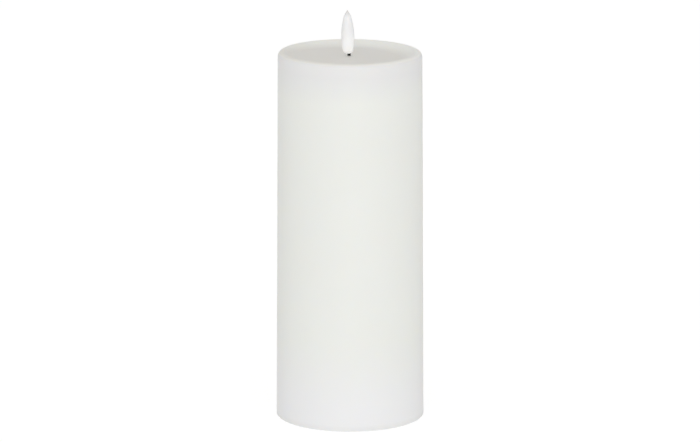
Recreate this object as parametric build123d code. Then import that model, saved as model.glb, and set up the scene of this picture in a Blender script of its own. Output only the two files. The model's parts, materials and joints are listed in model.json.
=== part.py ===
from build123d import *
import math
import os

# Flameless pillar candle, in millimetres. The origin is the centre of the foot, on the surface the
# candle stands on. +Z is up, -Y is the front.

# Wax pillar
foot_radius = 40.0
top_radius = 38.7            # the mould's draft makes the top a little slimmer
wax_height = 200.0
foot_edge = 0.8
rim_radius = 2.8             # outside of the rim
lip_radius = 3.0             # inside of the rim, falling to the dish
dish_radius = 12.0           # hollow round the dish's floor
dish_depth = 2.7
ceiling_z = 191.0            # underside of the wax top
cavity_foot_radius = 35.0
cavity_top_radius = 33.9
rebate_radius = 36.1
rebate_depth = 4.05

# Wick and flame, which lean together a little to the left
lean_angle = 1.0
wick_x = -0.53
wick_radius = 0.92
wick_bore = 0.55
wick_clearance = 0.05
wick_low = -12.2             # below the dish's floor
wick_showing = 1.5
wick_grip = 2.0              # length held inside the flame
meniscus_radius = 3.0
meniscus_height = 0.3
flame_x = -0.5               # the flame sits a little left of its wick
flame_length = 23.75
flame_wall = 0.8
flame_mouth = 1.9
mouth_height = 0.45
inner_foot = 1.3             # where the flame's hollow starts
plug_tip = 1.55
plug_flange = 2.05
plug_length = 2.6
flange_height = 0.6

# Circuit strip, lights and wires in the flame
strip_half = 1.1
strip_half_thick = 0.3
strip_length = 13.5
led_half = 0.8
led_depth = 0.4
lens_radius = 0.55
lens_depth = 0.5
flame_wire_radius = 0.15
flame_wire_x = 0.3
led_heights = (8.0, 14.0)    # above the dish's floor

# Head under the wax top
skirt_top = 187.0
flange_radius = 16.0
wick_boss_radius = 2.4
wick_boss_low = 183.4
boss_x = 8.0
boss_radius = 2.2
boss_bore = 0.8
head_board_radius = 10.8
head_screw_radius = 1.6
head_screw_top = 186.5
slot_half = 0.2              # screw slots
slot_depth = 0.5

# Base plate and battery bays
plate_radius = 36.0
plate_low = 1.0
plate_high = 4.0
plate_edge = 0.4
bay_x = 14.0
bay_radius = 13.6
bay_wall = 1.5
bay_top = 60.0
bay_cap = 1.6
cell_radius = 13.1
cell_length = 50.0
cell_low = 7.1
cell_edge = 0.7
nub_radius = 3.2
nub_height = 1.5
contact_thick = 0.4
contact_radius = 9.5
tab_half = 2.0
tab_room = 0.3               # space round a tab where it passes through a wall
terminal_y = 10.0
spring_radius = 4.5
spring_wire = 0.4
web_inset = 3.0

# Door, its hinge and its catch
hinge_x = -29.5
hinge_z = 2.4
knuckle_radius = 1.4
pin_radius = 0.65
pin_clearance = 0.05
pin_half_length = 17.2
door_end_x = 29.0
door_half_width = 15.2
door_top = 3.0
door_gap = 0.3
door_corner = 1.0
ledge_z = 3.1
hinge_room = 2.3             # from the hinge line to the end of the recess
lug_half_width = 6.7
rib_x = 24.5                 # stiffening rim inside the door
rib_y = 10.6
rib_high = 0.9
rib_wide = 1.0
door_contact_half = 5.0
catch_block_x = 18.2
catch_block_half = 6.2
block_back = 0.8             # wall behind the catch's spring
catch_block_top = 5.2
catch_back_x = 22.0
catch_front_x = 28.8
catch_tongue_x = 31.0
catch_half = 5.0
catch_low = 2.3
catch_top = 4.2
grip_half = 4.0
grip_x = 24.2
grip_low = 1.1
tongue_half = 3.0
tongue_top = 3.3
running_gap = 0.1
bite_radius = 4.0            # room for a fingertip at the catch

# Switch
switch_y = 23.5
switch_step = 2.5            # from off to on, and from on to timer
knob_half = 2.2
knob_half_depth = 2.6
knob_low = 1.15
knob_high = 2.3
knob_rib = 1.2
stem_half = 1.0
stem_half_depth = 0.9
stem_rise = 2.8
window_half = 6.0
window_half_depth = 3.2
window_high = 2.4
switch_screw_x = 9.5
switch_half = 6.5
switch_half_depth = 2.9
switch_high = 4.6
ear_half = 11.5
ear_low = 1.2
ear_high = 1.7
pin_pitch = 2.5
switch_lead_radius = 0.5

# Core casing, tower and head
core_radius = 33.4
core_wall = 1.6
core_roof = 2.0
core_edge = 1.5
core_top = 80.0
collar_wall = 2.1
collar_top = 92.0
wire_hole = 6.0
mast_radius = 8.5
mast_bore = 7.0
mast_top = 178.0
head_radius = 13.0
head_bore = 11.2
head_board_low = 181.0
head_board_high = 182.2
board_low = 65.0
board_high = 66.6
board_half_x = 24.0
board_half_y = 13.0
board_corner = 3.0
board_screw_x = 18.0
board_screw_y = -6.0
board_boss = 2.4
board_screw_low = 62.0
lead_radius = 0.7
plug_top = 74.5
lug_circle = 28.2            # circle of the three cover screws
lug_angles = (270, 50, 130)
lug_radius = 3.8
lug_top = 18.0
lug_bore_top = 15.0
cover_screw_radius = 1.0
cover_head_radius = 2.1
cover_head_high = 1.3

dish_z = wax_height - dish_depth
lean = Pos(wick_x, 0, dish_z) * Rot(0, -lean_angle, 0)


def rod(radius, low, high, x=0.0, y=0.0):
    return Pos(x, y, low) * Cylinder(radius, high - low, align=(Align.CENTER, Align.CENTER, Align.MIN))


def tube(outer, inner, low, high, x=0.0, y=0.0):
    return rod(outer, low, high, x, y) - rod(inner, low - 1, high + 1, x, y)


def block(x_range, y_range, z_range):
    size = [span[1] - span[0] for span in (x_range, y_range, z_range)]
    return Pos(x_range[0], y_range[0], z_range[0]) * Box(*size, align=(Align.MIN, Align.MIN, Align.MIN))


def both(half):
    return (-half, half)


def lying_rod(radius, y_range, x, z):
    length = y_range[1] - y_range[0]
    return Pos(x, y_range[0], z) * Rot(-90, 0, 0) * rod(radius, 0, length)


def polar(radius, angle):
    return radius * math.cos(math.radians(angle)), radius * math.sin(math.radians(angle))


def coil(mean_radius, wire_radius, low, high, turns):
    """A closed-wound spring wire between two heights, on the Z axis."""
    rise = high - low - 2 * wire_radius
    path = Helix(rise / turns, rise, mean_radius, center=(0, 0, low + wire_radius))
    section = Plane(origin=path @ 0, z_dir=path % 0) * Circle(wire_radius)
    return sweep(section, path=path, is_frenet=True)


def insulated_wire(points, radius, bends):
    path = FilletPolyline(*points, radius=bends)
    section = Plane(origin=path @ 0, z_dir=path % 0) * Circle(radius)
    return sweep(section, path=path)


# Wax

def wax_shell():
    with BuildSketch(Plane.XZ) as outline:
        Polygon((0, 0), (foot_radius, 0), (top_radius, wax_height), (0, wax_height), align=None)
        fillet(outline.vertices().sort_by(Axis.X)[-1], foot_edge)
        rim = outline.vertices().filter_by(lambda v: v.X > 1).sort_by(Axis.Y)[-1]
        fillet(rim, rim_radius)
    pillar = revolve(outline.sketch, axis=Axis.Z)

    turn = math.degrees(math.acos(1 - dish_depth / (lip_radius + dish_radius)))
    crest = top_radius - rim_radius
    over = wax_height + 1
    with BuildSketch(Plane.XZ) as dish:
        with BuildLine():
            lip = JernArc((crest, wax_height), (-1, 0), lip_radius, turn)
            hollow = JernArc(lip @ 1, lip % 1, dish_radius, -turn)
            Polyline(hollow @ 1, (0, dish_z), (0, over), (crest, over), (crest, wax_height))
        make_face()
    pillar -= revolve(dish.sketch, axis=Axis.Z)

    with BuildSketch(Plane.XZ) as bead:
        with BuildLine():
            Spline((meniscus_radius, 0), (wick_radius, meniscus_height), tangents=[(-1, 0), (-1, 1)])
            Polyline((wick_radius, meniscus_height), (0, meniscus_height), (0, -1), (meniscus_radius, -1),
                     (meniscus_radius, 0))
        make_face()
    pillar += Pos(wick_x, 0, dish_z) * revolve(bead.sketch, axis=Axis.Z)

    draft = cavity_foot_radius - cavity_top_radius
    cavity_height = ceiling_z - rebate_depth
    cavity = Pos(0, 0, rebate_depth) * Cone(cavity_foot_radius, cavity_foot_radius - draft, cavity_height,
                                            align=(Align.CENTER, Align.CENTER, Align.MIN))
    pillar -= cavity
    pillar -= rod(rebate_radius, -1, rebate_depth)
    pillar -= lean * rod(wick_radius + wick_clearance, wick_low - 1, 5)
    return pillar


# Flame and wick

def flame_body(points, foot):
    """A solid of revolution under a curve that runs from the flame's foot to its tip."""
    with BuildSketch(Plane.XZ) as outline:
        with BuildLine():
            Spline(*points, tangents=[(1, 0.35), (-1, 0)], tangent_scalars=[1, 1])
            Polyline(points[-1], (0, foot), points[0])
        make_face()
    return revolve(outline.sketch, axis=Axis.Z)


def flame_shell():
    outside = [(flame_mouth, mouth_height), (2.85, 1.8), (3.3, 5.2), (3.46, 9.0), (3.1, 14.9), (2.2, 19.2),
               (1.1, 21.9), (0.3, 23.45), (0, flame_length)]
    inside = [(flame_mouth, inner_foot), (2.35, 2.1), (3.46 - flame_wall, 9.0), (3.1 - flame_wall, 14.9),
              (2.2 - flame_wall, 19.0), (0.35, 21.6), (0, 21.9)]
    shell = flame_body(outside, mouth_height) - flame_body(inside, inner_foot)
    shell -= rod(flame_mouth, 0, inner_foot + 0.1)
    return lean * Pos(flame_x, 0, wick_showing) * shell


def flame_plug():
    """Closes the flame's mouth round the wick, with a flange that holds it in."""
    plug = Cone(plug_tip, flame_mouth, mouth_height, align=(Align.CENTER, Align.CENTER, Align.MIN))
    plug += rod(flame_mouth, mouth_height, plug_length)
    plug += rod(plug_flange, plug_length - flange_height, plug_length)
    plug -= rod(wick_radius, -1, wick_grip, -flame_x)
    plug -= rod(wick_bore, 0, plug_length + 1, -flame_x)
    return lean * Pos(flame_x, 0, wick_showing) * plug


def wick_tube():
    return lean * tube(wick_radius, wick_bore, wick_low, wick_showing + wick_grip)


def led_strip():
    foot = wick_showing + plug_length
    strip = block(both(strip_half), both(strip_half_thick), (foot, foot + strip_length))
    return lean * Pos(flame_x, 0, 0) * strip


def led(height):
    front = -strip_half_thick - led_depth
    base = block(both(led_half), (front, -strip_half_thick), (height, height + 2 * led_half))
    lens = Pos(0, front, height + led_half) * Rot(90, 0, 0) * Cylinder(lens_radius, lens_depth)
    return lean * Pos(flame_x, 0, 0) * (base + lens)


def flame_leads():
    """Two enamelled wires from the head board up the wick to the circuit strip."""
    low = head_board_high - dish_z + 0.1
    high = wick_showing + plug_length
    return lean * Compound([rod(flame_wire_radius, low, high, x) for x in (-flame_wire_x, flame_wire_x)])


# Head under the wax top

def wick_mount():
    mount = tube(head_radius, head_bore, mast_top, skirt_top)
    mount += rod(flange_radius, skirt_top, ceiling_z)
    for x in (-boss_x, boss_x):
        mount += rod(boss_radius, head_board_high, skirt_top, x)
        mount -= rod(boss_bore, head_board_high - 1, skirt_top, x)
    mount += rod(wick_boss_radius, wick_boss_low, skirt_top, wick_x)
    mount -= lean * rod(wick_radius, wick_low, 1)
    mount -= lean * rod(wick_bore, wick_low - 8, wick_low)
    return mount


def head_board():
    board = rod(head_board_radius, head_board_low, head_board_high)
    for x in (-boss_x, boss_x):
        board -= rod(boss_bore + 0.2, head_board_low - 1, head_board_high + 1, x)
    return board


def head_screws():
    head_low = head_board_low - 1.2
    screws = []
    for x in (-boss_x, boss_x):
        head = rod(head_screw_radius, head_low, head_board_low, x)
        head -= block((x - 0.9, x + 0.9), both(slot_half), (head_low - 0.1, head_low + slot_depth))
        screws.append(head + rod(boss_bore, head_board_low, head_screw_top, x))
    return Compound(screws)


def chip_legs(places, leg_ends, leg_heights):
    legs = [block((x - 0.2, x + 0.2), leg_ends, leg_heights) for x in places]
    return legs[0] + legs[1:]


def flame_driver():
    body = block(both(2.5), (3.0, 7.0), (head_board_low - 1.5, head_board_low - 0.1))
    return body + chip_legs((-1.9, -0.6, 0.6, 1.9), (2.2, 7.8), (head_board_low - 0.4, head_board_low))


def ir_receiver():
    """A small black block with a domed window."""
    high = head_board_high + 2.6
    body = block((3.0, 7.6), (-8.0, -4.4), (head_board_high, high))
    return body + Pos(5.3, -6.2, high) * Sphere(1.7)


# Leads and tower

def mast_tube():
    mast = rod(mast_radius, core_top, mast_top) + rod(head_radius, mast_top - 2, mast_top)
    return mast - rod(mast_bore, core_top - 1, mast_top + 1)


def mast_lead(side):
    """A lead from the plug, up the tower in a slow S, to the underside of the head board."""
    near = 1.25 * side
    far = 2.6 * side
    points = [(near, 0, plug_top), (near, 0, 96), (far, 2.2, 124), (near, -2.4, 152),
              (far, -4.0, 168), (far, -4.0, head_board_low)]
    return insulated_wire(points, lead_radius, [110, 90, 70, 55])


def wire_plug():
    plug = block(both(2.9), both(2.2), (69.0, plug_top))
    for y in (-2.2, 2.2):
        plug += block((-1.6, 1.6), (y - 0.4, y + 0.4), (70.0, 72.5))
    return plug


def board_header():
    header = block(both(3.9), both(3.4), (board_high, 72.0))
    return header - block(both(2.95), both(2.65), (69.0, 73.0))


# Main board

def tab_slot(x, z_range):
    """Room for a terminal's tab where it passes through a wall or the board."""
    half = tab_half + tab_room
    return block((x - half, x + half), (terminal_y - 0.4, terminal_y + 0.4), z_range)


def main_board():
    board = block(both(board_half_x), both(board_half_y), (board_low, board_high))
    board = fillet(board.edges().filter_by(Axis.Z), board_corner)
    for x in (-bay_x, bay_x):
        board -= tab_slot(x, (board_low - 1, board_high + 1))
    for x in (-board_screw_x, board_screw_x):
        board -= rod(1.2, board_low - 1, board_high + 1, x, board_screw_y)
    return board


def timer_chip():
    body = block((-12.5, -7.5), (-8.5, -4.5), (board_high + 0.1, board_high + 1.6))
    return body + chip_legs((-11.9, -10.6, -9.4, -8.1), (-9.4, -3.6), (board_high, board_high + 0.4))


def crystal():
    can = block((-13.0, -7.0), (1.0, 3.4), (board_high, board_high + 2.6))
    return fillet(can.edges().filter_by(Axis.Z), 1.0)


def capacitor():
    """An upright can with a groove rolled in near its foot."""
    x, y = 9.5, -6.0
    can = rod(2.6, board_high, board_high + 7.0, x, y)
    can -= tube(3.0, 2.3, board_high + 1.0, board_high + 1.6, x, y)
    return fillet(can.edges().sort_by(Axis.Z)[-1], 0.4)


def resistors():
    places = [(7.0, 2.5), (9.5, 2.5), (12.0, 2.5)]
    chips = []
    for x, y in places:
        chip = block((x - 0.7, x + 0.7), (y - 1.3, y + 1.3), (board_high, board_high + 0.6))
        chip -= block((x - 0.8, x + 0.8), (y - 0.8, y + 0.8), (board_high + 0.5, board_high + 1))
        chips.append(chip)
    return Compound(chips)


def board_screws():
    screws = []
    slot = (board_screw_y - 0.25, board_screw_y + 0.25)
    for x in (-board_screw_x, board_screw_x):
        head = rod(2.0, board_high, board_high + 1.4, x, board_screw_y)
        head -= block((x - 1.2, x + 1.2), slot, (board_high + 0.9, board_high + 2))
        screws.append(head + rod(1.0, board_screw_low + 0.2, board_high, x, board_screw_y))
    return Compound(screws)


# Base

def twin_bays(radius, low, high):
    return rod(radius, low, high, -bay_x) + rod(radius, low, high, bay_x)


def switch_pocket():
    depth = (switch_y - window_half_depth, switch_y + window_half_depth)
    pocket = block((-window_half, window_half + 2 * switch_step), depth, (0, window_high))
    return fillet(pocket.edges().filter_by(Axis.Z), 1.5)


def door_recess(housing):
    """Cuts the door's recess, right through at the hinge and under a ledge elsewhere."""
    recess_half = door_half_width + door_gap
    near_x = hinge_x - hinge_room
    far_x = door_end_x + 0.5
    housing -= block((near_x, far_x), both(recess_half), (0, ledge_z))
    housing -= block((near_x, hinge_x + 1.9), both(recess_half), (0, 4.6))
    lug = lying_rod(knuckle_radius, both(lug_half_width), hinge_x, hinge_z)
    lug += block((near_x - 0.5, hinge_x), both(lug_half_width), (hinge_z, hinge_z + knuckle_radius))
    housing += lug
    housing -= lying_rod(pin_radius, both(pin_half_length), hinge_x, hinge_z)

    # room above the door for its stiffening rim and its contact
    housing -= block(both(rib_x + 0.5), both(rib_y + 0.5), (0, plate_high + 0.3))

    # room for the catch's block, and the slot that its tongue enters
    notch_half = catch_block_half + door_gap
    notch_x = bay_radius + bay_x - 2.0
    housing -= block((notch_x, far_x), both(notch_half), (0, catch_block_top + door_gap))
    slot_x = (far_x - 1, catch_tongue_x + 0.6)
    housing -= block(slot_x, both(tongue_half + 0.3), (catch_low - 0.3, tongue_top + 0.3))

    # a bite in the recess's edge for a fingertip at the catch
    bite = Pos(door_end_x + 3.2, 0, plate_low - 1.5) * Sphere(bite_radius)
    housing -= bite - block(both(40), both(40), (1.9, 6))
    return housing


def battery_housing():
    roof = bay_top + bay_cap
    housing = rod(plate_radius, plate_low, plate_high)
    housing = chamfer(housing.edges().sort_by(Axis.Z)[0], plate_edge)
    housing += twin_bays(bay_radius + bay_wall, plate_high, roof)
    housing += block(both(bay_x), both((bay_radius - web_inset) / 2), (plate_high, roof))
    for x in (-board_screw_x, board_screw_x):
        housing += rod(board_boss, roof, board_low, x, board_screw_y)
        housing -= rod(1.0, board_screw_low, board_low + 1, x, board_screw_y)
    housing -= twin_bays(bay_radius, 0, bay_top)
    housing = door_recess(housing)

    # switch window, with three pips that mark its positions
    housing -= switch_pocket()
    stem_slot = block((-1.3, 1.3 + 2 * switch_step), (switch_y - 1.0, switch_y + 1.0), (1, 5))
    housing -= stem_slot
    for n in range(3):
        housing -= rod(0.5, 0, plate_low + 0.3, n * switch_step, switch_y + 4.6)

    for angle in lug_angles:
        x, y = polar(lug_circle, angle)
        housing -= rod(cover_screw_radius + 0.3, 0, 5, x, y)
        housing -= rod(cover_head_radius + 0.3, 0, plate_low + cover_head_high, x, y)

    for x in (-bay_x, bay_x):
        housing -= tab_slot(x, (bay_top - 1, bay_top + 3))
    for x in (switch_step - switch_screw_x, switch_step + switch_screw_x):
        housing += rod(1.8, plate_high, plate_high + ear_low, x, switch_y)
        housing -= rod(0.7, plate_high - 1.6, plate_high + 2, x, switch_y)
    return housing


def cell(x, nub_up):
    body_low = cell_low if nub_up else cell_low + nub_height
    body = rod(cell_radius, body_low, body_low + cell_length - nub_height, x)
    body = fillet(body.edges().filter_by(GeomType.CIRCLE), cell_edge)
    nub_low = body_low + cell_length - nub_height if nub_up else cell_low
    return body + rod(nub_radius, nub_low, nub_low + nub_height, x)


def terminal(x):
    """A round contact under the bay's roof, with an arm and a tab that is soldered to the board."""
    plate_z = (bay_top - contact_thick, bay_top)
    plate = rod(contact_radius, *plate_z, x)
    arm = block((x - tab_half, x + tab_half), (0, terminal_y), plate_z)
    tab_y = (terminal_y - contact_thick / 2, terminal_y + contact_thick / 2)
    tab = block((x - tab_half, x + tab_half), tab_y, (bay_top - contact_thick, board_high + 0.8))
    return plate + arm + tab


def raised_pad(x, wide, narrow, low, high):
    return Pos(x, 0, low) * Cone(wide, narrow, high - low, align=(Align.CENTER, Align.CENTER, Align.MIN))


def terminal_positive():
    cell_top = cell_low + cell_length
    return terminal(-bay_x) + raised_pad(-bay_x, 2.4, 4.0, cell_top, bay_top - contact_thick)


def terminal_negative():
    return terminal(bay_x)


def negative_spring():
    spring = coil(spring_radius, spring_wire, cell_low + cell_length, bay_top - contact_thick, 2)
    return Pos(bay_x, 0, 0) * spring


# Door

def battery_door():
    door = block((hinge_x, door_end_x), both(door_half_width), (plate_low, door_top))
    free_corners = door.edges().filter_by(Axis.Z).filter_by(lambda e: e.center().X > 0)
    door = fillet(free_corners, door_corner)
    lug_room = lug_half_width + door_gap
    door -= block((hinge_x - 1, hinge_x + 2.0), both(lug_room), (0, 5))
    for y_range in ((lug_room, door_half_width), (-door_half_width, -lug_room)):
        door += lying_rod(knuckle_radius, y_range, hinge_x, hinge_z)
    door -= lying_rod(pin_radius + pin_clearance, both(20), hinge_x, hinge_z)

    rib = block(both(rib_x), both(rib_y), (door_top, door_top + rib_high))
    rib -= block(both(rib_x - rib_wide), both(rib_y - rib_wide), (door_top - 1, door_top + 2))
    door += rib

    # block that the catch slides in
    end = door_end_x + 1
    groove_z = (catch_low - running_gap, catch_top + running_gap)
    door += block((catch_block_x, door_end_x), both(catch_block_half), (plate_low, catch_block_top))
    door -= block((catch_block_x + block_back, end), both(catch_half + running_gap), groove_z)
    door -= block((catch_back_x + 0.1, end), both(grip_half + running_gap), (0, catch_low))

    # grip ribs across the outside, sunk so that the face stays flat
    for n in range(5):
        x = -6.0 + 3.0 * n
        door -= block((x - 0.5, x + 0.5), both(6.0), (0, plate_low + 0.4))
    return door


def door_hinge_pin():
    return lying_rod(pin_radius, both(pin_half_length), hinge_x, hinge_z)


def door_contact():
    """A plate that bridges the two cells, with a raised pad under the nub of the right-hand one."""
    high = door_top + contact_thick
    plate = block((-bay_x - 7.0, bay_x + 3.4), both(door_contact_half), (door_top, high))
    return plate + raised_pad(bay_x, 3.0, 2.2, high, cell_low - running_gap)


def door_spring():
    spring = coil(spring_radius, spring_wire, door_top + contact_thick, cell_low - running_gap, 2.5)
    return Pos(-bay_x, 0, 0) * spring


def door_catch():
    """A sliding catch: a wing that runs in the block's grooves, a finger grip and a tongue."""
    catch = block((catch_back_x, catch_front_x), both(catch_half), (catch_low, catch_top))
    catch += block((grip_x, catch_front_x), both(grip_half), (grip_low, catch_low))
    catch += block((catch_front_x, catch_tongue_x), both(tongue_half), (catch_low, tongue_top))
    for n in range(3):
        x = grip_x + 1.0 + 1.2 * n
        catch -= block((x - 0.3, x + 0.3), both(3.2), (0, grip_low + 0.4))
    return catch


def catch_spring():
    start = catch_block_x + block_back
    spring = coil(0.75, 0.15, 0, catch_back_x - start, 5)
    return Pos(start, 0, (catch_low + catch_top) / 2) * Rot(0, 90, 0) * spring


# Switch

def switch_body():
    centre = switch_step
    low = plate_high
    depth = (switch_y - switch_half_depth, switch_y + switch_half_depth)
    body = block((centre - switch_half, centre + switch_half), depth, (low, low + switch_high))
    ear_depth = (switch_y - 2.6, switch_y + 2.6)
    body += block((centre - ear_half, centre + ear_half), ear_depth, (low + ear_low, low + ear_high))
    inside = switch_half - 1.0
    body -= block((centre - inside, centre + inside), (switch_y - 1.9, switch_y + 1.9), (low - 1, low + 3.0))
    for x in (-switch_screw_x, switch_screw_x):
        body -= rod(1.0, low, low + 3, centre + x, switch_y)
    for x in (-pin_pitch, 0, pin_pitch):
        body += rod(0.4, low + switch_high, low + 6.2, centre + x, switch_y)
    return body


def switch_knob():
    depth = (switch_y - knob_half_depth, switch_y + knob_half_depth)
    knob = block(both(knob_half), depth, (knob_low, knob_high))
    for x in (-knob_rib, 0, knob_rib):
        knob -= block((x - 0.25, x + 0.25), (switch_y - 2.0, switch_y + 2.0), (0, knob_low + 0.35))
    stem_depth = (switch_y - stem_half_depth, switch_y + stem_half_depth)
    return knob + block(both(stem_half), stem_depth, (knob_high, plate_high + stem_rise))


def switch_screws():
    screws = []
    top = plate_high + ear_high
    slot = (switch_y - slot_half, switch_y + slot_half)
    for x in (switch_step - switch_screw_x, switch_step + switch_screw_x):
        head = rod(1.5, top, top + 1.1, x, switch_y)
        head -= block((x - 0.9, x + 0.9), slot, (top + 0.6, top + 2))
        screws.append(head + rod(0.7, plate_high - 1.5, top, x, switch_y))
    return Compound(screws)


def switch_leads():
    """Three wires from the switch up beside the bays and over the board's edge."""
    leads = []
    over = 72.5
    for x in (-pin_pitch, 0, pin_pitch):
        x_top = x * 1.2 + 5.0
        points = [(switch_step + x, switch_y, plate_high + 6.2), (switch_step + x, switch_y, 46),
                  (x_top, switch_y - 1.5, 62), (x_top, 17, over), (x_top, 10, over), (x_top, 10, board_high)]
        leads.append(insulated_wire(points, switch_lead_radius, [14, 9, 5, 2.6]))
    return Compound(leads)


# Casing

def core_cover():
    cover = rod(core_radius, plate_high, core_top)
    cover = fillet(cover.edges().sort_by(Axis.Z)[-1], core_edge)
    cover -= rod(core_radius - core_wall, plate_high - 1, core_top - core_roof)
    cover += tube(mast_radius + collar_wall, mast_radius, core_top - 1, collar_top)
    cover -= rod(wire_hole, core_top - 3, core_top + 0.1)
    cover -= rod(mast_radius, core_top, collar_top + 1)
    for angle in lug_angles:
        x, y = polar(lug_circle, angle)
        cover += rod(lug_radius, plate_high, lug_top, x, y)
        cover -= rod(cover_screw_radius, plate_high - 1, lug_bore_top, x, y)
    return cover


def cover_screws():
    screws = []
    head_low = plate_low + 0.2
    head_high = plate_low + cover_head_high
    for angle in lug_angles:
        x, y = polar(lug_circle, angle)
        head = rod(cover_head_radius, head_low, head_high, x, y)
        for turn in (0, 90):
            slot = block(both(1.3), both(0.25), (-0.5, 0.6))
            head -= Pos(x, y, head_low) * Rot(0, 0, turn) * slot
        screws.append(head + rod(cover_screw_radius, head_high, lug_bore_top - 1, x, y))
    return Compound(screws)


parts = {
    "wax_shell": wax_shell(),
    "flame_shell": flame_shell(),
    "flame_plug": flame_plug(),
    "wick_tube": wick_tube(),
    "led_strip": led_strip(),
    "led_lower": led(led_heights[0]),
    "led_upper": led(led_heights[1]),
    "flame_leads": flame_leads(),
    "wick_mount": wick_mount(),
    "head_board": head_board(),
    "head_screws": head_screws(),
    "flame_driver": flame_driver(),
    "ir_receiver": ir_receiver(),
    "mast_tube": mast_tube(),
    "lead_red": mast_lead(1),
    "lead_black": mast_lead(-1),
    "wire_plug": wire_plug(),
    "board_header": board_header(),
    "main_board": main_board(),
    "timer_chip": timer_chip(),
    "crystal": crystal(),
    "capacitor": capacitor(),
    "resistors": resistors(),
    "board_screws": board_screws(),
    "core_cover": core_cover(),
    "cover_screws": cover_screws(),
    "battery_housing": battery_housing(),
    "battery_1": cell(-bay_x, True),
    "battery_2": cell(bay_x, False),
    "terminal_positive": terminal_positive(),
    "terminal_negative": terminal_negative(),
    "negative_spring": negative_spring(),
    "battery_door": battery_door(),
    "door_hinge_pin": door_hinge_pin(),
    "door_contact": door_contact(),
    "door_spring": door_spring(),
    "door_catch": door_catch(),
    "catch_spring": catch_spring(),
    "switch_body": switch_body(),
    "switch_knob": switch_knob(),
    "switch_screws": switch_screws(),
    "switch_leads": switch_leads(),
}

os.makedirs("parts", exist_ok=True)
for name, shape in parts.items():
    export_step(shape, f"parts/{name}.step")
    print(name, round(shape.volume, 1))
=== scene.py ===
import bpy
import json
import math
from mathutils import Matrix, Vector

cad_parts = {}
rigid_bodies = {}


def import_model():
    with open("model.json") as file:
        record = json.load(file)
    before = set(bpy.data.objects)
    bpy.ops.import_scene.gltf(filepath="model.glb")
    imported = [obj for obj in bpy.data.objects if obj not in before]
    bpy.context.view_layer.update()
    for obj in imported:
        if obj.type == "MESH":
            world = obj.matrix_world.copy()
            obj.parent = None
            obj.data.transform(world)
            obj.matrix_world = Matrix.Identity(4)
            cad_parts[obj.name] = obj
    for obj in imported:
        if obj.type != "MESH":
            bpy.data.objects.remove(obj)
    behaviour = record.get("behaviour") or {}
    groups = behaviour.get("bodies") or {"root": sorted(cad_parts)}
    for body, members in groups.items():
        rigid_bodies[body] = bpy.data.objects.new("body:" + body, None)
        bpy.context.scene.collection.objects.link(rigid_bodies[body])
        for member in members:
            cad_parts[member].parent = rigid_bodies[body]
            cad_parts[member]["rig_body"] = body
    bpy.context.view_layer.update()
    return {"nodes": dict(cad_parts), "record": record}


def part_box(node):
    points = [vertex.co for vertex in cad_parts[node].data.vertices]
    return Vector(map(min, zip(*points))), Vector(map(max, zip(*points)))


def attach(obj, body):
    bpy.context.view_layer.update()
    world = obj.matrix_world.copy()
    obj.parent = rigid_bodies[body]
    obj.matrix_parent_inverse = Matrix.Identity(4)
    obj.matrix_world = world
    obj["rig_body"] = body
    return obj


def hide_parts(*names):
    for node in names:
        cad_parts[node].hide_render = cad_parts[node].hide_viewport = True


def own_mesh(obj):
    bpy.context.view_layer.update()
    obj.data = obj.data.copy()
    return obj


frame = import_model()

mm = 0.001
hair = 0.01 * mm         # closer than this counts as the same place
poleGap = 0.03 * mm      # rings narrower than this gather into a pole

waxLow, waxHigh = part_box("wax_shell")
footRadius = (waxHigh.x - waxLow.x) / 2
pillarTop = waxHigh.z


def clearSelection():
    if bpy.context.object and bpy.context.object.mode != "OBJECT":
        bpy.ops.object.mode_set(mode="OBJECT")
    bpy.ops.object.select_all(action="DESELECT")


def pick(piece):
    clearSelection()
    piece.select_set(True)
    bpy.context.view_layer.objects.active = piece


def applyPlace(piece):
    pick(piece)
    bpy.ops.object.transform_apply(location=True, rotation=True, scale=True)


def useModifier(piece, kind, **settings):
    pick(piece)
    modifier = piece.modifiers.new(kind.title(), kind)
    for key, value in settings.items():
        setattr(modifier, key, value)
    bpy.ops.object.modifier_apply(modifier=modifier.name)


def arcRun(centre, radius, start, end, steps):
    # points on an arc of the outline, angles in degrees from +X
    points = []
    for n in range(steps + 1):
        a = math.radians(start + (end - start) * n / steps)
        points.append((centre[0] + radius * math.cos(a), centre[1] + radius * math.sin(a)))
    return points


def straightRun(start, end, steps):
    return [(start[0] + (end[0] - start[0]) * n / steps, start[1] + (end[1] - start[1]) * n / steps)
            for n in range(steps + 1)]


def easedStep(a, b, c, d, t):
    # from b to c, in line with what comes before and after
    return 0.5 * (2 * b + (c - a) * t + (2 * a - 5 * b + 4 * c - d) * t * t
                  + (3 * b - a - 3 * c + d) * t ** 3)


def smoothRun(points, steps):
    # a soft curve through a few points
    ends = [points[0]] + points + [points[-1]]
    run = []
    for a, b, c, d in zip(ends, ends[1:], ends[2:], ends[3:]):
        for n in range(steps):
            run.append(tuple(easedStep(a[k], b[k], c[k], d[k], n / steps) for k in (0, 1)))
    return run + [points[-1]]


def tidyRun(outline, gap=hair):
    kept = [outline[0]]
    for point in outline[1:]:
        if math.dist(point, kept[-1]) > gap:
            kept.append(point)
    return kept


def turned(name, outline, sides):
    # a ring drawn out along its outline of (radius, height) points, open at both ends
    outline = tidyRun(outline)
    clearSelection()
    bpy.ops.mesh.primitive_circle_add(vertices=sides, radius=outline[0][0], location=(0, 0, outline[0][1]))
    piece = bpy.context.object
    piece.name = name
    piece.data.name = name
    applyPlace(piece)
    bpy.ops.object.mode_set(mode="EDIT")
    bpy.ops.mesh.select_all(action="SELECT")
    for (radius, height), (nextRadius, nextHeight) in zip(outline, outline[1:]):
        bpy.ops.mesh.extrude_edges_move(TRANSFORM_OT_translate={"value": (0, 0, nextHeight - height)})
        grow = nextRadius / radius
        bpy.ops.transform.resize(value=(grow, grow, 1), center_override=(0, 0, nextHeight))
    return piece


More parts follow.
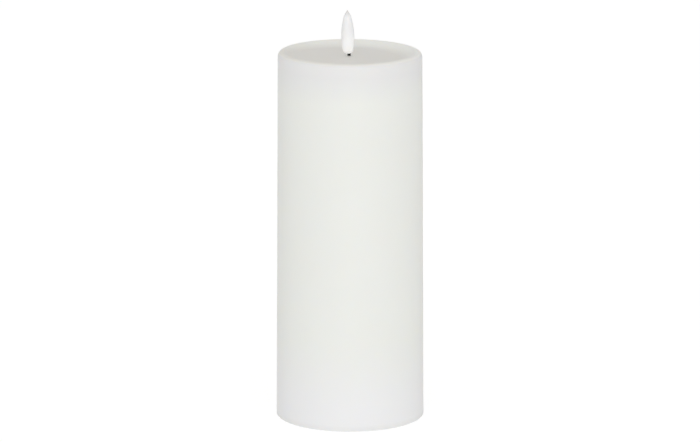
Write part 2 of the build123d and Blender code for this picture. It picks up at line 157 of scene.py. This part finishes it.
def closeRings(piece, poles=False):
    # joins the first ring to the last, or gathers each into a pole
    bpy.ops.mesh.select_all(action="DESELECT")
    bpy.ops.mesh.select_non_manifold()
    if poles:
        bpy.ops.mesh.remove_doubles(threshold=poleGap)
    else:
        bpy.ops.mesh.bridge_edge_loops()
    bpy.ops.mesh.select_all(action="SELECT")
    bpy.ops.mesh.normals_make_consistent(inside=False)
    bpy.ops.object.mode_set(mode="OBJECT")
    return piece


def shadeSoft(piece, angle=40):
    pick(piece)
    bpy.ops.object.shade_smooth_by_angle(angle=math.radians(angle))
    return piece


def place(piece, body, slot, material, *nodes):
    piece.data.materials.clear()
    piece.data.materials.append(material)
    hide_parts(*nodes)
    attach(piece, body)
    return piece


def newTree(name):
    material = bpy.data.materials.new(name)
    material.use_nodes = True
    nodes = material.node_tree.nodes
    nodes.clear()
    out = nodes.new("ShaderNodeOutputMaterial")
    shader = nodes.new("ShaderNodeBsdfPrincipled")
    material.node_tree.links.new(shader.outputs[0], out.inputs["Surface"])
    return material, nodes, material.node_tree.links, shader


def addNode(tree, kind, **values):
    made = tree.nodes.new("ShaderNode" + kind)
    for key, value in values.items():
        if hasattr(made, key):
            setattr(made, key, value)
        else:
            made.inputs[key.replace("_", " ")].default_value = value
    return made


def rampOf(tree, source, start, end, low=0.0, high=1.0):
    # a straight change of value between two readings of the source
    ramp = addNode(tree, "MapRange")
    for name, value in (("From Min", start), ("From Max", end), ("To Min", low), ("To Max", high)):
        ramp.inputs[name].default_value = value
    tree.links.new(source, ramp.inputs["Value"])
    return ramp.outputs["Result"]


def tintBy(tree, mask, first, second):
    tint = addNode(tree, "Mix", data_type="RGBA")
    tree.links.new(mask, tint.inputs[0])
    tree.links.new(first, tint.inputs[6])
    tint.inputs[7].default_value = second
    return tint.outputs[2]


def combine(tree, operation, first, second):
    made = addNode(tree, "Math", operation=operation)
    tree.links.new(first, made.inputs[0])
    tree.links.new(second, made.inputs[1])
    return made.outputs[0]


def placeOf(tree, output="Object"):
    where = addNode(tree, "TexCoord").outputs[output]
    split = addNode(tree, "SeparateXYZ")
    tree.links.new(where, split.inputs[0])
    return where, split.outputs


def bumpBy(tree, height, target, **values):
    bump = addNode(tree, "Bump", **values)
    tree.links.new(height, bump.inputs["Height"])
    tree.links.new(bump.outputs["Normal"], target.inputs["Normal"])
    return bump


def newGroup(name, takes, gives):
    group = bpy.data.node_groups.new(name, "ShaderNodeTree")
    for socket, kind, value in takes:
        made = group.interface.new_socket(socket, in_out="INPUT", socket_type="NodeSocket" + kind)
        if value is not None:
            made.default_value = value
    for socket, kind in gives:
        group.interface.new_socket(socket, in_out="OUTPUT", socket_type="NodeSocket" + kind)
    start = group.nodes.new("NodeGroupInput")
    end = group.nodes.new("NodeGroupOutput")
    return group, start, end


def placeGroup(material, group, **values):
    made = material.node_tree.nodes.new("ShaderNodeGroup")
    made.node_tree = group
    for key, value in values.items():
        made.inputs[key].default_value = value
    return made


def makeDrift():
    # slow cloudy change of tone, with a fine grain on top
    group, start, end = newGroup(
        "slowDrift",
        [("toneA", "Color", (0.8, 0.8, 0.8, 1)), ("toneB", "Color", (0.7, 0.7, 0.7, 1)),
         ("cloudScale", "Float", 20.0), ("grainScale", "Float", 900.0), ("grainShare", "Float", 0.2)],
        [("tone", "Color"), ("height", "Float"), ("mask", "Float")])
    link = group.links.new
    where = addNode(group, "TexCoord")
    cloud = addNode(group, "TexNoise", Detail=3.0, Roughness=0.5)
    grain = addNode(group, "TexNoise", Detail=2.0, Roughness=0.6)
    link(where.outputs["Object"], cloud.inputs["Vector"])
    link(where.outputs["Object"], grain.inputs["Vector"])
    link(start.outputs["cloudScale"], cloud.inputs["Scale"])
    link(start.outputs["grainScale"], grain.inputs["Scale"])
    blend = addNode(group, "Mix", data_type="FLOAT")
    link(start.outputs["grainShare"], blend.inputs[0])
    link(cloud.outputs["Fac"], blend.inputs[2])
    link(grain.outputs["Fac"], blend.inputs[3])
    spread = rampOf(group, blend.outputs[0], 0.35, 0.65)
    tint = addNode(group, "Mix", data_type="RGBA")
    link(spread, tint.inputs[0])
    link(start.outputs["toneA"], tint.inputs[6])
    link(start.outputs["toneB"], tint.inputs[7])
    link(tint.outputs[2], end.inputs["tone"])
    link(grain.outputs["Fac"], end.inputs["height"])
    link(spread, end.inputs["mask"])
    return group


slowDrift = makeDrift()


waxFinish = {
    "pale": (0.856, 0.868, 0.834, 1),
    "creamy": (0.850, 0.860, 0.822, 1),
    "chalky": (0.867, 0.869, 0.874, 1),      # painted light from the floor, whiter towards the foot
    # painted shade under the rim
    "rimTone": (0.813, 0.815, 0.815, 1),
    "topTone": (0.905, 0.912, 0.880, 1),     # painted light on the top, left showing by the back and right of the rim, outside the dish's painted shade
    "poolTone": (0.812, 0.800, 0.765, 1),    # painted shade on the floor of the dish, a little off centre, warmer
    "poolCentre": (-4 * mm, -7 * mm, 0),
    "poolFade": (31 * mm, 40 * mm),
    "footTone": (0.81, 0.81, 0.80, 1),       # painted shade along the very foot
    "footBand": (3.5 * mm, 0.3 * mm),
    "chalkFoot": (15 * mm, 48 * mm),
    "rimBand": (22 * mm, 8 * mm),            # painted shade, below the top
    "topBand": (4 * mm, 3.5 * mm),
    "topSlope": (0.55, 0.8),                 # how level the wax lies where it counts as the top
    "clouds": {"cloudScale": 22.0, "grainScale": 700.0, "grainShare": 0.12},
    "roughness": 0.5,
    "bloom": (-0.06, 0.08),                  # change of roughness over the clouds
    "glow": 0.35,                            # how much light goes into the wax
    "depth": 6.0 * mm,
    "scatter": (1.0, 0.85, 0.65),
    "swells": {"Scale": 60.0, "Detail": 2.0, "Roughness": 0.4},
    "swellBump": {"Strength": 0.2, "Distance": 0.1 * mm},
    "toothBump": {"Strength": 0.18, "Distance": 0.03 * mm},
}


def makeWax():
    look = waxFinish
    material, nodes, links, shader = newTree("pillarWax")
    tree = material.node_tree
    drift = placeGroup(material, slowDrift, toneA=look["pale"], toneB=look["creamy"], **look["clouds"])
    where, split = placeOf(tree)
    height = split["Z"]
    # painted light from the floor makes the wall a little whiter at its foot, and painted shade makes it
    # greyer under the rim
    foot = rampOf(tree, height, *look["chalkFoot"], 1.0, 0.0)
    rim = rampOf(tree, height, pillarTop - look["rimBand"][0], pillarTop - look["rimBand"][1])
    tone = tintBy(tree, foot, drift.outputs["tone"], look["chalky"])
    tone = tintBy(tree, rim, tone, look["rimTone"])
    # painted shade along the very foot of the wall
    tone = tintBy(tree, rampOf(tree, height, *look["footBand"]), tone, look["footTone"])
    # painted shade makes the dish darker and warmer a little off centre, leaving the back and right of the
    # top lighter
    plan = addNode(tree, "VectorMath", operation="MULTIPLY")
    links.new(where, plan.inputs[0])
    plan.inputs[1].default_value = (1, 1, 0)
    reach = addNode(tree, "VectorMath", operation="DISTANCE")
    links.new(plan.outputs[0], reach.inputs[0])
    reach.inputs[1].default_value = look["poolCentre"]
    dishShade = rampOf(tree, reach.outputs["Value"], *look["poolFade"], 1.0, 0.0)
    facing = addNode(tree, "NewGeometry")
    turn = addNode(tree, "SeparateXYZ")
    links.new(facing.outputs["Normal"], turn.inputs[0])
    level = rampOf(tree, turn.outputs["Z"], *look["topSlope"])
    high = rampOf(tree, height, pillarTop - look["topBand"][0], pillarTop - look["topBand"][1])
    onTop = combine(tree, "MULTIPLY", level, high)
    # painted light over the top of the pillar
    tone = tintBy(tree, onTop, tone, look["topTone"])
    tone = tintBy(tree, combine(tree, "MULTIPLY", onTop, dishShade), tone, look["poolTone"])
    links.new(tone, shader.inputs["Base Color"])
    # faint waxy bloom in the gloss
    low, high = (look["roughness"] + change for change in look["bloom"])
    links.new(rampOf(tree, drift.outputs["mask"], 0.0, 1.0, low, high), shader.inputs["Roughness"])
    shader.inputs["Subsurface Weight"].default_value = look["glow"]
    shader.inputs["Subsurface Radius"].default_value = look["scatter"]
    shader.inputs["Subsurface Scale"].default_value = look["depth"]
    shader.inputs["IOR"].default_value = 1.43
    shader.inputs["Specular IOR Level"].default_value = 0.4
    # soft swells with a fine tooth over them
    swell = addNode(tree, "TexNoise", **look["swells"])
    links.new(where, swell.inputs["Vector"])
    fine = bumpBy(tree, drift.outputs["height"], shader, **look["toothBump"])
    bumpBy(tree, swell.outputs["Fac"], fine, **look["swellBump"])
    return material


flameFinish = {
    "body": (0.97, 0.97, 0.99, 1),
    "clouded": (0.955, 0.955, 0.97, 1),
    "foot": (0.975, 0.96, 0.925, 1),         # creamier towards the wick
    "edge": (0.75, 0.75, 0.75, 1),           # painted shade where the bulb is seen at a slant
    "tip": (0.73, 0.73, 0.73, 1),
    "creamHeight": (203.0 * mm, 198.5 * mm),
    "tipHeight": (218.5 * mm, 221.5 * mm),
    "liftHeight": (211.5 * mm, 199.5 * mm),
    "lift": (0.0, 0.17),                     # light that the bulb passes on, more at its foot
    "skin": (0.45, 0.95),                    # slant at which the painted shade starts, and where it is full
    "clouds": {"cloudScale": 160.0, "grainScale": 1800.0, "grainShare": 0.1},
    "roughness": 0.32,
    "glow": 0.5,
    "depth": 1.0 * mm,
    "scatter": (1.0, 0.9, 0.8),
    "bump": {"Strength": 0.12, "Distance": 0.02 * mm},
}


def makeFlameMilk():
    look = flameFinish
    material, nodes, links, shader = newTree("flameMilk")
    tree = material.node_tree
    drift = placeGroup(material, slowDrift, toneA=look["body"], toneB=look["clouded"], **look["clouds"])
    height = placeOf(tree)[1]["Z"]
    cream = rampOf(tree, height, *look["creamHeight"])
    tone = tintBy(tree, cream, drift.outputs["tone"], look["foot"])
    tone = tintBy(tree, rampOf(tree, height, *look["tipHeight"]), tone, look["tip"])
    slant = nodes.new("ShaderNodeLayerWeight")
    slant.inputs["Blend"].default_value = 0.5
    # painted shade towards the bulb's outline
    skin = rampOf(tree, slant.outputs["Facing"], *look["skin"])
    links.new(tintBy(tree, skin, tone, look["edge"]), shader.inputs["Base Color"])
    shader.inputs["Roughness"].default_value = look["roughness"]
    shader.inputs["Subsurface Weight"].default_value = look["glow"]
    shader.inputs["Subsurface Radius"].default_value = look["scatter"]
    shader.inputs["Subsurface Scale"].default_value = look["depth"]
    shader.inputs["IOR"].default_value = 1.45
    shader.inputs["Specular IOR Level"].default_value = 0.4
    shader.inputs["Emission Strength"].default_value = 1.0
    lift = rampOf(tree, height, *look["liftHeight"], *look["lift"])
    links.new(lift, shader.inputs["Emission Color"])
    bumpBy(tree, drift.outputs["height"], shader, **look["bump"])
    return material


plainFinish = {
    "clouds": {"cloudScale": 60.0, "grainScale": 2500.0, "grainShare": 0.25},
    "spread": 0.06,              # change of roughness over the clouds
    "bumpDepth": 0.03 * mm,
    "depth": 1.0 * mm,
}


def makePlain(name, toneA, toneB, roughness, metallic=0.0, bump=0.15, glow=0.0):
    look = plainFinish
    material, nodes, links, shader = newTree(name)
    tree = material.node_tree
    drift = placeGroup(material, slowDrift, toneA=(*toneA, 1), toneB=(*toneB, 1), **look["clouds"])
    links.new(drift.outputs["tone"], shader.inputs["Base Color"])
    low, high = roughness - look["spread"], roughness + look["spread"]
    links.new(rampOf(tree, drift.outputs["mask"], 0, 1, low, high), shader.inputs["Roughness"])
    shader.inputs["Metallic"].default_value = metallic
    if glow:
        shader.inputs["Subsurface Weight"].default_value = glow
        shader.inputs["Subsurface Scale"].default_value = look["depth"]
    bumpBy(tree, drift.outputs["height"], shader, Strength=bump, Distance=look["bumpDepth"])
    return material


cellFinish = {
    "jacket": (0.055, 0.115, 0.20, 1),
    "jacketWorn": (0.05, 0.10, 0.17, 1),
    "steel": (0.62, 0.62, 0.61, 1),
    "axisAt": 14.0 * mm,         # the two cells stand this far left and right
    "steelRadius": 11.5 * mm,    # bare metal inside the jacket's folded edge
    "steelEdge": 0.1 * mm,
    "gloss": (0.3, 0.24),
    "bump": {"Strength": 0.15, "Distance": 0.02 * mm},
}


def makeCell():
    # shrunk jacket with bare steel ends
    look = cellFinish
    material, nodes, links, shader = newTree("cellJacket")
    tree = material.node_tree
    drift = placeGroup(material, slowDrift, toneA=look["jacket"], toneB=look["jacketWorn"],
                       **plainFinish["clouds"])
    split = placeOf(tree)[1]
    side = addNode(tree, "Math", operation="ABSOLUTE")
    links.new(split["X"], side.inputs[0])
    across = addNode(tree, "Math", operation="SUBTRACT")
    links.new(side.outputs[0], across.inputs[0])
    across.inputs[1].default_value = look["axisAt"]
    plan = addNode(tree, "CombineXYZ")
    links.new(across.outputs[0], plan.inputs["X"])
    links.new(split["Y"], plan.inputs["Y"])
    reach = addNode(tree, "VectorMath", operation="LENGTH")
    links.new(plan.outputs[0], reach.inputs[0])
    edge = look["steelRadius"] + look["steelEdge"]
    bare = rampOf(tree, reach.outputs["Value"], look["steelRadius"], edge, 1.0, 0.0)
    links.new(tintBy(tree, bare, drift.outputs["tone"], look["steel"]), shader.inputs["Base Color"])
    links.new(bare, shader.inputs["Metallic"])
    links.new(rampOf(tree, bare, 0, 1, *look["gloss"]), shader.inputs["Roughness"])
    bumpBy(tree, drift.outputs["height"], shader, **look["bump"])
    return material


finishes = {
    "wick": makePlain("charredWick", (0.012, 0.012, 0.010), (0.03, 0.028, 0.022), 0.75, bump=0.5),
    "white_plastic": makePlain("ivoryAbs", (0.80, 0.80, 0.77), (0.76, 0.76, 0.72), 0.42, glow=0.1),
    "black_plastic": makePlain("blackAbs", (0.015, 0.015, 0.016), (0.03, 0.03, 0.03), 0.45),
    "circuit_board": makePlain("boardGreen", (0.010, 0.13, 0.05), (0.015, 0.18, 0.07), 0.3),
    "led": makePlain("ledPhosphor", (0.80, 0.62, 0.12), (0.85, 0.70, 0.25), 0.25),
    "plated_contact": makePlain("nickelPlate", (0.66, 0.65, 0.61), (0.58, 0.57, 0.54), 0.28, metallic=1.0),
    "spring_steel": makePlain("springSteel", (0.48, 0.48, 0.48), (0.40, 0.40, 0.41), 0.32, metallic=1.0),
    "screw_steel": makePlain("zincScrew", (0.50, 0.50, 0.51), (0.42, 0.42, 0.44), 0.35, metallic=1.0),
    "enamelled_wire": makePlain("copperEnamel", (0.55, 0.22, 0.08), (0.48, 0.18, 0.06), 0.25, metallic=0.8),
    "red_insulation": makePlain("redSleeve", (0.42, 0.015, 0.012), (0.36, 0.012, 0.01), 0.4),
    "black_insulation": makePlain("blackSleeve", (0.014, 0.014, 0.014), (0.02, 0.02, 0.02), 0.4),
    "grey_insulation": makePlain("greySleeve", (0.30, 0.30, 0.30), (0.26, 0.26, 0.26), 0.4),
}
finishes["wax"] = makeWax()
finishes["flame"] = makeFlameMilk()
finishes["battery_jacket"] = makeCell()
print("finishes made")


pillar = {
    "sides": 160,
    "wallRings": 60,
    "topRadius": 38.7 * mm,
    "footEdge": 0.8 * mm,
    "rimRadius": 2.8 * mm,
    "lipRadius": 3.0 * mm,
    "hollowRadius": 12.0 * mm,
    "dishDepth": 2.7 * mm,
    "cavityFoot": 35.0 * mm,
    "cavityTop": 33.9 * mm,
    "ceiling": 191.0 * mm,
    "rebateRadius": 36.1 * mm,
    "rebateDepth": 4.05 * mm,
    "rebateEase": 0.3 * mm,
    "meniscusRadius": 3.2 * mm,
    "meniscusHeight": 0.35 * mm,
    "meniscusSkirt": 2 * mm,
    "wickX": -0.53 * mm,
    "wickReach": 9 * mm,         # wax that stands off centre with the wick
    "holeRadius": 0.97 * mm,
    "steps": {"lip": 6, "hollow": 8, "floor": 10, "meniscus": 5, "rim": 10, "foot": 5, "cavity": 8},
    "unevenness": 0.16 * mm,
    "unevenSize": 0.035,
    "unevenLevel": 0.75,         # most of it goes inwards
    "unevenTop": 0.8,            # its share on the top
    "topFrom": 6 * mm,
    "wallFrom": 37.5 * mm,
    "evenFoot": 2 * mm,          # no unevenness below this, full unevenness a rise above it
    "evenRise": 8 * mm,
    "outOfLevel": 0.006,         # fall of the poured top from left to right
}
dishFloor = pillarTop - pillar["dishDepth"]


def pillarOutline():
    p = pillar
    steps = p["steps"]
    turn = math.degrees(math.acos(1 - p["dishDepth"] / (p["lipRadius"] + p["hollowRadius"])))
    crest = p["topRadius"] - p["rimRadius"]
    lip = arcRun((crest, pillarTop - p["lipRadius"]), p["lipRadius"], 90 + turn, 90, steps["lip"])
    reach = (p["lipRadius"] + p["hollowRadius"]) * math.sin(math.radians(turn))
    hollowCentre = (crest - reach, dishFloor + p["hollowRadius"])
    hollow = arcRun(hollowCentre, p["hollowRadius"], 270, 270 + turn, steps["hollow"])
    skirt = (p["meniscusRadius"] + p["meniscusSkirt"], dishFloor)
    flat = straightRun(skirt, (crest - reach, dishFloor), steps["floor"])
    swell = smoothRun([(p["holeRadius"], dishFloor + p["meniscusHeight"]),
                       (p["holeRadius"] + 0.5 * mm, dishFloor + 0.45 * p["meniscusHeight"]),
                       (p["meniscusRadius"], dishFloor + 0.02 * mm), skirt], steps["meniscus"])
    rim = arcRun((crest, pillarTop - p["rimRadius"]), p["rimRadius"], 90, 0, steps["rim"])
    wallTop = (p["topRadius"], pillarTop - p["rimRadius"])
    wall = straightRun(wallTop, (footRadius, p["footEdge"]), p["wallRings"])
    foot = arcRun((footRadius - p["footEdge"], p["footEdge"]), p["footEdge"], 0, -90, steps["foot"])
    rebate = [(p["rebateRadius"] + p["rebateEase"], 0), (p["rebateRadius"], p["rebateEase"]),
              (p["rebateRadius"], p["rebateDepth"]), (p["cavityFoot"], p["rebateDepth"])]
    cavityTop = (p["cavityTop"], p["ceiling"])
    inside = straightRun((p["cavityFoot"], p["rebateDepth"]), cavityTop, steps["cavity"])
    outer = swell + flat + hollow + lip + rim + wall
    return outer + foot + rebate + inside + [(p["holeRadius"], p["ceiling"])]


def makePillar():
    p = pillar
    piece = turned("wax_pillar", pillarOutline(), p["sides"])
    closeRings(piece)
    # the wick's hole and the wax that climbs round it sit a little off centre
    near = p["wickReach"]
    for vertex in piece.data.vertices:
        reach = math.hypot(vertex.co.x, vertex.co.y)
        if reach < near and vertex.co.z > p["ceiling"] - mm:
            vertex.co.x += p["wickX"] * min(1.0, (near - reach) / (near - p["meniscusRadius"]))
    group = piece.vertex_groups.new(name="outside")
    for vertex in piece.data.vertices:
        reach = math.hypot(vertex.co.x, vertex.co.y)
        onWall = reach > p["wallFrom"] and vertex.co.z > p["evenFoot"]
        onTop = vertex.co.z > dishFloor - mm and reach > p["topFrom"]
        if onWall or onTop:
            rise = min(1.0, max(0.0, (vertex.co.z - p["evenFoot"]) / p["evenRise"]))
            group.add([vertex.index], rise if onWall and not onTop else p["unevenTop"], "REPLACE")
    drift = bpy.data.textures.new("waxDrift", type="CLOUDS")
    drift.noise_scale = p["unevenSize"]
    drift.noise_depth = 1
    useModifier(piece, "DISPLACE", texture=drift, strength=p["unevenness"],
                mid_level=p["unevenLevel"], vertex_group="outside", texture_coords="LOCAL")
    for vertex in piece.data.vertices:
        lift = min(1.0, max(0.0, (vertex.co.z - p["ceiling"]) / (dishFloor - p["ceiling"])))
        vertex.co.z -= lift * p["outOfLevel"] * vertex.co.x
    return shadeSoft(piece, 50)


place(makePillar(), "candle", "wax", finishes["wax"], "wax_shell")
print("wax pillar turned")


flame = {                        # outlines as (radius, height) in mm above the bare part of the wick
    "lean": 1.0,                 # degrees to the left
    "sides": 64,
    "length": 23.55 * mm,
    "offset": -0.5 * mm,         # it sits a little left of its wick
    "mouth": (1.9, 0.45),
    "outside": [(2.42, 0.95), (2.85, 1.8), (3.1, 3.3), (3.32, 5.6), (3.45, 8.4), (3.44, 11.0),
                (3.28, 13.2), (3.05, 15.0), (2.72, 16.8), (2.5, 18.0), (2.15, 19.4), (1.8, 20.5),
                (1.38, 21.35), (0.98, 22.0), (0.58, 22.7), (0.3, 23.22)],
    "tip": [(0.2, 0.13), (0.1, 0.03)],   # the last of it, as (radius, depth) below its point
    "pole": 0.012,
    "inside": [(0.1, 21.9), (0.35, 21.6), (1.4, 19.0), (2.3, 14.9), (2.66, 9.0), (2.35, 2.1), (1.9, 1.3)],
    "plug": [(0.93, 0.25), (0.96, 0.15), (1.5, 0.15), (1.62, 0.2), (1.88, 0.44), (1.9, 0.6),
             (1.9, 2.0), (2.05, 2.05), (2.05, 2.55), (1.95, 2.6), (1.0, 2.6), (0.93, 2.5)],
    "plugHole": 1.2 * mm,        # points nearer the axis than this belong to its hole
}
wick = {
    "lobes": 6,
    "sides": 36,
    "radius": 0.91 * mm,
    "groove": 0.86,              # how deep the twist is cut
    "bore": 0.62,
    "low": -12.2 * mm,
    "showing": 1.5 * mm,
    "top": 3.5 * mm,
    "step": 0.45 * mm,
    "turnPerStep": 14,
}


def leanOver(piece, beside=0.0):
    lean = math.radians(flame["lean"])
    piece.rotation_euler = (0, -lean, 0)
    piece.location = (pillar["wickX"] + beside * math.cos(lean), 0, dishFloor + beside * math.sin(lean))
    applyPlace(piece)
    return piece


def raised(points):
    return [(radius * mm, height * mm + wick["showing"]) for radius, height in points]


def makeFlame():
    inside = smoothRun(raised(flame["inside"]), 5)
    outside = smoothRun(raised([flame["mouth"]] + flame["outside"]), 4)
    tip = flame["length"] + wick["showing"]
    pole = flame["pole"] * mm
    outside += [(radius * mm, tip - depth * mm) for radius, depth in flame["tip"]]
    outline = [(pole, inside[0][1])] + inside + outside + [(pole, tip)]
    piece = turned("flame_bulb", outline, flame["sides"])
    closeRings(piece, poles=True)
    return shadeSoft(leanOver(piece, flame["offset"]), 50)


def makePlug():
    # its hole stands off centre, over the wick
    piece = turned("flame_plug_cast", raised(flame["plug"]), flame["sides"])
    closeRings(piece)
    for vertex in piece.data.vertices:
        if math.hypot(vertex.co.x, vertex.co.y) < flame["plugHole"]:
            vertex.co.x -= flame["offset"]
    return shadeSoft(leanOver(piece, flame["offset"]), 40)


def makeWick():
    w = wick
    clearSelection()
    bpy.ops.mesh.primitive_circle_add(vertices=w["sides"], radius=w["radius"], location=(0, 0, w["low"]))
    piece = bpy.context.object
    piece.name = "twisted_wick"
    applyPlace(piece)
    for vertex in piece.data.vertices:
        around = math.atan2(vertex.co.y, vertex.co.x)
        dip = 0.5 + 0.5 * math.cos(w["lobes"] * around)
        shrink = w["groove"] + (1 - w["groove"]) * math.sqrt(dip)
        vertex.co.x *= shrink
        vertex.co.y *= shrink
    bpy.ops.object.mode_set(mode="EDIT")
    bpy.ops.mesh.select_all(action="SELECT")
    height = w["low"]
    while height < w["top"] - hair:
        rise = min(w["step"], w["top"] - height)
        height += rise
        bpy.ops.mesh.extrude_edges_move(TRANSFORM_OT_translate={"value": (0, 0, rise)})
        bpy.ops.transform.rotate(value=math.radians(w["turnPerStep"]), orient_axis="Z",
                                 center_override=(0, 0, height))
    for drop, shrink in ((0, w["bore"]), (w["low"] - w["top"], 1.0)):
        bpy.ops.mesh.extrude_edges_move(TRANSFORM_OT_translate={"value": (0, 0, drop)})
        bpy.ops.transform.resize(value=(shrink, shrink, 1))
    closeRings(piece)
    return shadeSoft(leanOver(piece), 60)


place(makeFlame(), "candle", "flame", finishes["flame"], "flame_shell")
place(makePlug(), "candle", "flame", finishes["flame"], "flame_plug")
place(makeWick(), "candle", "wick", finishes["wick"], "wick_tube")
print("flame and wick made")


slotOf = {row["node"]: row["material_slot"] for row in frame["record"]["subparts"]}
for name, node in frame["nodes"].items():
    node.data.materials.clear()
    node.data.materials.append(finishes[slotOf[name]])
print("inner parts finished")


easedEdges = {                   # width taken off the sharp edges, mm
    "battery_housing": 0.15,
    "battery_door": 0.2,
    "door_catch": 0.15,
    "switch_knob": 0.15,
    "core_cover": 0.3,
    "switch_body": 0.15,
    "board_header": 0.15,
    "main_board": 0.1,
    "cover_screws": 0.1,
}
easing = {
    "flat": 1,                   # faces within this angle become one
    "corner": 30,                # edges sharper than this are eased
    "segments": 2,
}


def weldedCopy(node, ending):
    piece = bpy.data.objects.new(node.name + ending, node.data.copy())
    bpy.context.scene.collection.objects.link(piece)
    pick(piece)
    bpy.ops.mesh.customdata_custom_splitnormals_clear()
    bpy.ops.object.mode_set(mode="EDIT")
    bpy.ops.mesh.select_all(action="SELECT")
    bpy.ops.mesh.remove_doubles(threshold=hair)
    return piece


def easeEdges(node, width):
    # the same piece with its moulded edges softened
    piece = weldedCopy(node, "_eased")
    bpy.ops.mesh.dissolve_limited(angle_limit=math.radians(easing["flat"]))
    bpy.ops.object.mode_set(mode="OBJECT")
    useModifier(piece, "BEVEL", width=width * mm, segments=easing["segments"],
                limit_method="ANGLE", angle_limit=math.radians(easing["corner"]))
    shadeSoft(piece, 50)
    useModifier(piece, "WEIGHTED_NORMAL", keep_sharp=True)
    return piece


for name, width in easedEdges.items():
    node = frame["nodes"][name]
    place(easeEdges(node, width), node["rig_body"], slotOf[name], finishes[slotOf[name]], name)
print("moulded edges softened")


# a welded copy of the catch spring, softly shaded, carried by the door
def makeCatchSpring():
    # closes up as the catch is drawn back
    node = frame["nodes"]["catch_spring"]
    piece = weldedCopy(node, "_live")
    bpy.ops.object.mode_set(mode="OBJECT")
    place(shadeSoft(piece, 60), "door", "spring_steel", finishes["spring_steel"], "catch_spring")
    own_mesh(piece)


makeCatchSpring()
print("catch spring made")


studio = {
    "floorSeen": (0.3, 0.78),    # the floor's tone and its own glow, to the eye
    "floorGiven": (0.9, 0.11),   # and to the candle
    "horizon": (0.76, 0.76, 0.76, 1),
    "zenith": (0.85, 0.84, 0.825, 1),
    "rise": (0.25, 0.75),        # from the one tone to the other
    "edge": 0.01,                # nothing shines up from below the horizon
    "behind": 0.84,              # how bright the room behind the candle is against the front
    "turning": (-0.5, 0.6),      # where the one passes into the other, from front to back
    "backdrop": (1.0, 1.0, 1.0, 1),
}
lamps = {                        # metres and watts
    "frontBox": {"spot": (0.1, -1.6, 0.275), "aim": (0, 0, 0.255), "size": (0.9, 0.55), "power": 4.8},
    # lights the foot when it is looked at from below
    "underBox": {"spot": (0, 0, -0.5), "aim": (0, 0, 0), "size": (0.06, 0.06), "power": 0.7},
}
view = {
    "sensor": 36.0,
    "lens": 221.64,
    "clipEnd": 100,
    "distance": 2.323,
    "lift": 12.8,                # degrees above the level
    "aim": (-0.00005, 0, 0.10696),
}


def makeFloor():
    clearSelection()
    bpy.ops.mesh.primitive_plane_add(size=40, location=(0, 0, 0))
    floor = bpy.context.object
    floor.name = "floor"
    material, nodes, links, shader = newTree("paleFloor")
    shader.inputs["Roughness"].default_value = 0.9
    shader.inputs["Specular IOR Level"].default_value = 0.0
    shader.inputs["Emission Color"].default_value = (1, 1, 1, 1)
    path = nodes.new("ShaderNodeLightPath")
    sockets = ("Base Color", "Emission Strength")
    for socket, given, seen in zip(sockets, studio["floorGiven"], studio["floorSeen"]):
        value = rampOf(material.node_tree, path.outputs["Is Camera Ray"], 0, 1, given, seen)
        links.new(value, shader.inputs[socket])
    # it is clear from below and to the lamp under it, so that the foot can be looked at
    side = nodes.new("ShaderNodeNewGeometry")
    clear = nodes.new("ShaderNodeBsdfTransparent")
    mix = nodes.new("ShaderNodeMixShader")
    below, shadow = side.outputs["Backfacing"], path.outputs["Is Shadow Ray"]
    links.new(combine(material.node_tree, "MAXIMUM", below, shadow), mix.inputs[0])
    links.new(shader.outputs[0], mix.inputs[1])
    links.new(clear.outputs[0], mix.inputs[2])
    out = next(n for n in nodes if n.type == "OUTPUT_MATERIAL")
    links.new(mix.outputs[0], out.inputs["Surface"])
    floor.data.materials.append(material)


def makeSky():
    world = bpy.data.worlds.new("studioSky")
    bpy.context.scene.world = world
    world.use_nodes = True
    tree = world.node_tree
    tree.nodes.clear()
    link = tree.links.new
    out = addNode(tree, "OutputWorld")
    glow = addNode(tree, "Background")
    link(glow.outputs[0], out.inputs[0])
    split = placeOf(tree, "Generated")[1]
    ramp = addNode(tree, "ValToRGB")
    stops = ramp.color_ramp.elements
    stops[0].position, stops[1].position = studio["rise"]
    stops[0].color = studio["horizon"]
    stops[1].color = studio["zenith"]
    stops.new(0.0).color = (0, 0, 0, 1)
    stops.new(studio["edge"]).color = studio["horizon"]
    link(split["Z"], ramp.inputs[0])
    share = addNode(tree, "Mix", data_type="RGBA", blend_type="MULTIPLY")
    share.inputs[0].default_value = 1.0
    link(ramp.outputs[0], share.inputs[6])
    link(rampOf(tree, split["Y"], *studio["turning"], 1.0, studio["behind"]), share.inputs[7])
    # the eye sees a clean backdrop, the candle gets the softer light
    path = addNode(tree, "LightPath")
    seen = tintBy(tree, path.outputs["Is Camera Ray"], share.outputs[2], studio["backdrop"])
    link(seen, glow.inputs[0])


def makeLight(name, spot, aim, size, power):
    data = bpy.data.lights.new(name, "AREA")
    data.shape = "RECTANGLE"
    data.size, data.size_y = size
    data.energy = power
    lamp = bpy.data.objects.new(name, data)
    bpy.context.scene.collection.objects.link(lamp)
    lamp.location = spot
    lamp.rotation_euler = (Vector(aim) - Vector(spot)).to_track_quat("-Z", "Y").to_euler()


def makeCamera():
    data = bpy.data.cameras.new("lens")
    data.sensor_width = view["sensor"]
    data.lens = view["lens"]
    data.clip_end = view["clipEnd"]
    camera = bpy.data.objects.new("camera", data)
    bpy.context.scene.collection.objects.link(camera)
    lift = math.radians(view["lift"])
    aim = Vector(view["aim"])
    spot = aim + view["distance"] * Vector((0, -math.cos(lift), math.sin(lift)))
    camera.location = spot
    camera.rotation_euler = (aim - spot).to_track_quat("-Z", "Y").to_euler()
    bpy.context.scene.camera = camera


makeFloor()
makeSky()
for name, values in lamps.items():
    makeLight(name, **values)
makeCamera()
bpy.context.scene.view_settings.view_transform = "Standard"
print("stage set")
